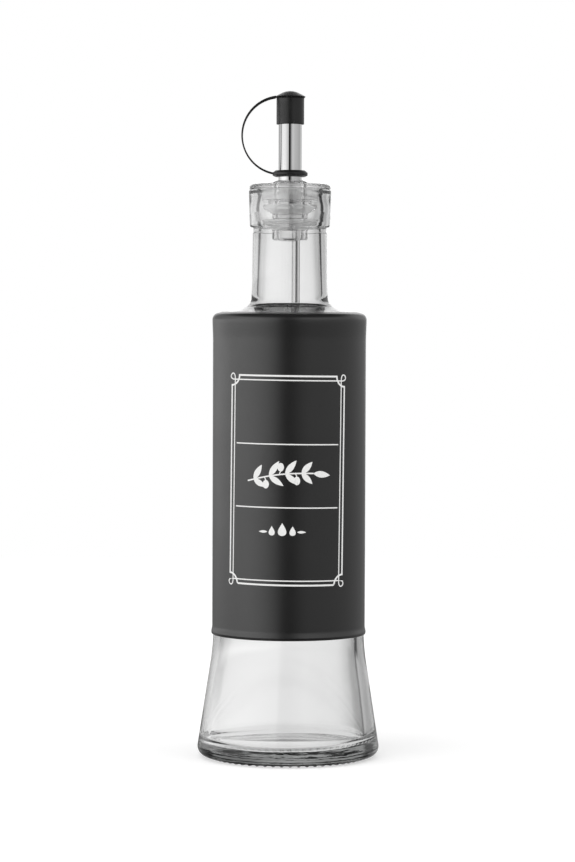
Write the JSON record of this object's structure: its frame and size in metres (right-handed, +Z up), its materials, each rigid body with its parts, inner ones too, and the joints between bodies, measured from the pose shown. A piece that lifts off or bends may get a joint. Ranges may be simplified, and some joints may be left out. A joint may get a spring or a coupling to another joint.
{
  "type": "oil cruet",
  "caption": "Clear glass oil cruet with a flared foot, a black metal sleeve and a pouring stopper whose steel spout has a tethered rubber dust cap.",
  "frame": {"origin": "middle of the base, on the bottle's axis, at the surface that the bottle stands on", "axes": "+Z up along the bottle's axis to the spout; -Y is the decorated front of the sleeve; the dust cap's strap loops out towards -X"},
  "size_m": [0.0654, 0.0654, 0.2393],
  "materials": {
    "clear_glass": "clear polished",
    "black_paint": "matte",
    "clear_plastic": "clear, slightly milky",
    "steel": "fine satin",
    "black_rubber": "soft sheen"
  },
  "bodies": {
    "root": {"bottle": "clear_glass", "sleeve": "black_paint", "stopper": "clear_plastic", "spout_tube": "steel", "vent_tube": "steel", "dust_cap": "black_rubber"}
  },
  "joints": []
}
